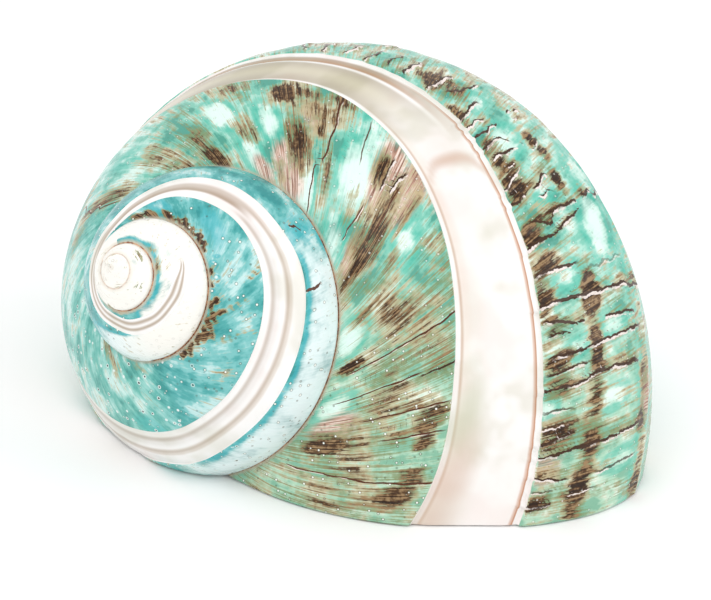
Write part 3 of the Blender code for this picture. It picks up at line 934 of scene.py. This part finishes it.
class Surface:
    """What varies over the skin, and the layers of colour that it drives, from the base up."""

    def __init__(self, nodes):
        self.nodes = nodes
        self.lines = nodes.add("ShaderNodeUVMap", uv_map="growth").outputs[0]
        self.solid = nodes.add("ShaderNodeTexCoord").outputs["Object"]
        self.place, self.turn = split_map(nodes, "band")
        self.brown, self.pale, self.blue, self.mauve = split_paint(nodes, "pigment")
        self.pitted, self.speckled = split_paint(nodes, "wear")[:2]
        self.hair = scaled_noise(nodes, self.lines, (5.5, 6, 1), 2.0)
        self.fine = scaled_noise(nodes, self.lines, (2.0, 9, 1), 3.0, 0.6)
        self.coarse = scaled_noise(nodes, self.lines, (0.6, 6, 1), 3.0, 0.55)
        self.blotch = scaled_noise(nodes, self.solid, even(280), 4.0, 0.6)
        self.grain = scaled_noise(nodes, self.solid, even(1700), 3.0, 0.6)
        self.mixed = total(nodes, 0.5, (self.coarse, 0.7), (self.blotch, 0.8), (self.fine, 0.25))
        ragged = scaled_noise(nodes, self.lines, (2.2, 40, 1), 3.0, 0.6)
        self.jitter = total(nodes, 0.0, (ragged, 0.5))
        self.spot, self.spot_ring = dots(nodes, self.solid, 1150, 0.9, 0.15)
        self.hole, self.hole_rim = dots(nodes, self.solid, 1000, 0.8, 0.15)

    def base(self):
        """Green, paler low beside the aperture and sea-blue on the spire, with milky patches."""
        nodes, blue = self.nodes, self.blue
        low = nodes.times(between(nodes, self.turn, -0.95, -0.45), 0.9)
        land = nodes.mix(low, ramp(nodes, self.mixed, GREEN), ramp(nodes, self.mixed, SAGE))
        colour = nodes.mix(blue, land, ramp(nodes, self.mixed, SEA))
        patch = total(nodes, self.pale, (self.mixed, 0.7), (self.hair, 0.25))
        ring = nodes.times(bell(nodes, patch, 0.33, 0.24), 0.6)
        colour = nodes.mix(ring, colour, ramp(nodes, blue, PATCH_RING))
        milk = nodes.cover(ramp(nodes, blue, MILK), between(nodes, self.turn, -6.7, -7.3),
                           INNER_MILK)
        return nodes.mix(between(nodes, patch, 0.34, 0.82), colour, milk)

    def streaks(self, colour):
        """Mauve stripes, then stains that go from olive to bark brown."""
        nodes = self.nodes
        mauve = total(nodes, self.mauve, (self.mixed, 0.5), (self.fine, 0.5))
        stripes = total(nodes, 0.5, (self.hair, 1.0), (self.fine, 0.8))
        colour = nodes.mix(between(nodes, mauve, 0.35, 0.75), colour,
                           ramp(nodes, stripes, MAUVE_STRIPES))
        stain = total(nodes, self.brown, (self.fine, 0.8), (self.hair, 0.65), (self.coarse, 0.5),
                      (self.blotch, 0.55), (self.grain, 0.3))
        colour = nodes.mix(nodes.times(between(nodes, stain, 0.14, 0.34), 0.85), colour,
                           ramp(nodes, self.blotch, OLIVE))
        bark = total(nodes, 0.5, (self.hair, 1.2), (self.grain, 0.7))
        return nodes.mix(between(nodes, stain, 0.34, 0.48), colour, ramp(nodes, bark, BARK))

    def spots(self, colour):
        """White speckles, painted glints in tiny pits, with a dark ring of painted shade; and dark
        pits with a white rim, painted shade inside and a painted highlight on the rim.
        """
        nodes = self.nodes
        around = nodes.times(nodes.times(self.spot_ring, 0.5), self.speckled)
        colour = nodes.cover(colour, around, SPECKLE_RING_SHADE)
        colour = nodes.cover(colour, nodes.times(self.spot, self.speckled), SPECKLE_GLINT)
        colour = nodes.cover(colour, nodes.times(self.hole_rim, self.pitted), PIT_RIM_HIGHLIGHT)
        return nodes.cover(colour, nodes.times(self.hole, self.pitted), PIT_SHADE)

    def ledges(self, colour):
        """A dark line of painted shade before each growth ledge's step and a white crumbly crust on
        it.
        """
        nodes = self.nodes
        distance, strength = split_map(nodes, "ledge")
        edge = nodes.maths("ADD", distance, self.jitter)
        shade = nodes.times(bell(nodes, edge, -0.10, 0.15), strength)
        crust = nodes.times(bell(nodes, edge, 0.05, 0.12), strength)
        # Painted shade: a dark brown line just before the ledge's step.
        colour = nodes.cover(colour, between(nodes, shade, 0.2, 0.6), LEDGE_PAINTED_SHADE)
        crumbs = nodes.times(between(nodes, crust, 0.3, 0.5), between(nodes, self.blotch, 0.44, 0.54))
        return nodes.cover(colour, crumbs, LEDGE_CRUST)

    def cracks(self, colour):
        """Hair cracks with a few flakes of white beside them."""
        nodes = self.nodes
        distance, strength = split_map(nodes, "crack")
        crack = nodes.maths("ADD", distance, nodes.times(self.jitter, 0.5))
        dark = nodes.times(bell(nodes, crack, 0.0, 0.13), strength)
        colour = nodes.cover(colour, between(nodes, dark, 0.12, 0.45), CRACK_SHADE)
        chip = nodes.times(bell(nodes, crack, 0.15, 0.10), strength)
        flakes = nodes.times(between(nodes, chip, 0.2, 0.5), between(nodes, self.fine, 0.52, 0.60))
        return nodes.cover(colour, flakes, CRACK_FLAKE)

    def seams(self, colour):
        """A ragged brown line with a beige halo, fainter towards the apex."""
        nodes = self.nodes
        upper, lower = split_map(nodes, "seam")
        away = nodes.maths("MINIMUM", nodes.maths("ABSOLUTE", upper), nodes.maths("ABSOLUTE", lower))
        ragged = nodes.maths("ADD", away, nodes.times(self.jitter, 0.5))
        late = total(nodes, 0.75, (between(nodes, self.turn, -9.6, -8.6), 0.7))
        halo = nodes.times(nodes.times(between(nodes, ragged, 0.55, 0.18), late), 0.7)
        colour = nodes.cover(colour, halo, SEAM_HALO)
        line = nodes.times(between(nodes, ragged, 0.17, 0.06), late)
        return nodes.mix(line, colour, ramp(nodes, self.grain, SEAM_LINE))

    def in_band(self):
        nodes = self.nodes
        inside = nodes.times(nodes.maths("GREATER_THAN", self.place, 0.0),
                             nodes.maths("LESS_THAN", self.place, 1.0))
        return nodes.times(inside, between(nodes, self.turn, BAND_SHOWS_FROM, BAND_SHOWS_FULL))

    def band(self):
        """Rims, grooves and reflections of the ground pearl, with its clouds and tints; the darker
        strips along its grooves and bevels are partly painted shade.
        """
        nodes = self.nodes
        colour = ramp(nodes, self.place, BAND_SIDE)
        for stops, low, high in BAND_EARLIER:
            earlier = ramp(nodes, self.place, stops)
            colour = nodes.mix(between(nodes, self.turn, low, high), earlier, colour)
        clouds = pearl_colour(nodes, pearl_group(), self.solid)
        colour = nodes.mix(0.6, colour, clouds, "MULTIPLY")
        colour = nodes.cover(colour, nodes.times(self.brown, 0.8), GREY_PEARL)
        # The pink tint; along the start of the facet it is painted shade.
        return nodes.cover(colour, nodes.times(self.mauve, 0.85), PINK_PEARL)

    def height(self, in_band):
        """Fine relief of the growth lines and dots, none in the band."""
        nodes = self.nodes
        rough = total(nodes, 0.5, (self.fine, 0.6), (self.hair, 0.5), (self.coarse, 0.4),
                      (self.spot, -0.4), (self.hole, -0.6))
        return nodes.times(nodes.maths("SUBTRACT", 1.0, in_band), rough)


def skin_material():
    made, nodes, shader = material("polished_shell")
    surface = Surface(nodes)
    colour = surface.base()
    for layer in (surface.streaks, surface.spots, surface.ledges, surface.cracks, surface.seams):
        colour = layer(colour)
    in_band = surface.in_band()
    nodes.feed(shader.inputs["Base Color"], nodes.mix(in_band, colour, surface.band()))
    relief_bump = nodes.add("ShaderNodeBump", {"Height": surface.height(in_band),
                                                "Strength": BUMP_STRENGTH,
                                                "Distance": BUMP_HEIGHT})
    nodes.feed(shader.inputs["Normal"], relief_bump.outputs[0])
    finish(shader, POLISH)
    return made


def lining_material():
    made, nodes, shader = material("pearl_lining")
    solid = nodes.add("ShaderNodeTexCoord").outputs["Object"]
    # The lining's pearl clouds carry painted iridescent sheen as well as the nacre's own tone.
    pearl = pearl_colour(nodes, bpy.data.node_groups["pearl_clouds"], solid)
    nodes.feed(shader.inputs["Base Color"], pearl)
    finish(shader, LINING_POLISH)
    return made


def make_camera():
    data = bpy.data.cameras.new("camera")
    data.sensor_width = SENSOR_WIDTH
    data.lens = SENSOR_WIDTH * FOCAL_IN_PICTURE_WIDTHS
    camera = bpy.data.objects.new("camera", data)
    right, up = Vector(CAMERA_RIGHT), Vector(CAMERA_UP)
    turned = Matrix((right, up, right.cross(up))).transposed().to_4x4()
    camera.matrix_world = Matrix.Translation(CAMERA_PLACE) @ turned
    bpy.context.scene.collection.objects.link(camera)
    bpy.context.scene.camera = camera


def make_floor():
    bpy.ops.object.select_all(action="DESELECT")
    bpy.ops.mesh.primitive_plane_add(size=FLOOR_SIDE, location=(0, 0, FLOOR_LEVEL))
    floor = bpy.context.object
    floor.name = "pale_floor"
    bpy.ops.object.transform_apply(location=True)
    made, _, shader = material("pale_floor")
    finish(shader, {"Base Color": FLOOR_TONE, "Roughness": FLOOR_ROUGHNESS})
    floor.data.materials.append(made)


def make_light():
    world = bpy.data.worlds.new("white_studio")
    world.use_nodes = True
    sky = world.node_tree.nodes["Background"]
    sky.inputs["Color"].default_value = (1, 1, 1, 1)
    sky.inputs["Strength"].default_value = SKY_STRENGTH
    bpy.context.scene.world = world
    for name, place, size, power in LAMPS:
        data = bpy.data.lights.new(name, "AREA")
        data.size, data.energy = size, power
        light = bpy.data.objects.new(name, data)
        light.location = place
        light.rotation_euler = (-Vector(place)).to_track_quat("-Z", "Y").to_euler()
        bpy.context.scene.collection.objects.link(light)
    bpy.context.scene.view_settings.view_transform = "Standard"


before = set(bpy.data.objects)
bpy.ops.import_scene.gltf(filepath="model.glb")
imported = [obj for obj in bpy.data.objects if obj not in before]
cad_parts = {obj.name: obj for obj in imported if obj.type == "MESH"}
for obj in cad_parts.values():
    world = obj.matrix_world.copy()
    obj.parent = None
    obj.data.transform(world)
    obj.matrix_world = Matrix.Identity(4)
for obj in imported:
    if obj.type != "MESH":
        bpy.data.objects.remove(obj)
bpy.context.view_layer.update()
bpy.ops.object.select_all(action="DESELECT")
make_camera()
make_light()
make_floor()
shell = make_shell()
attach(shell, "root")
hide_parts("turban_shell")
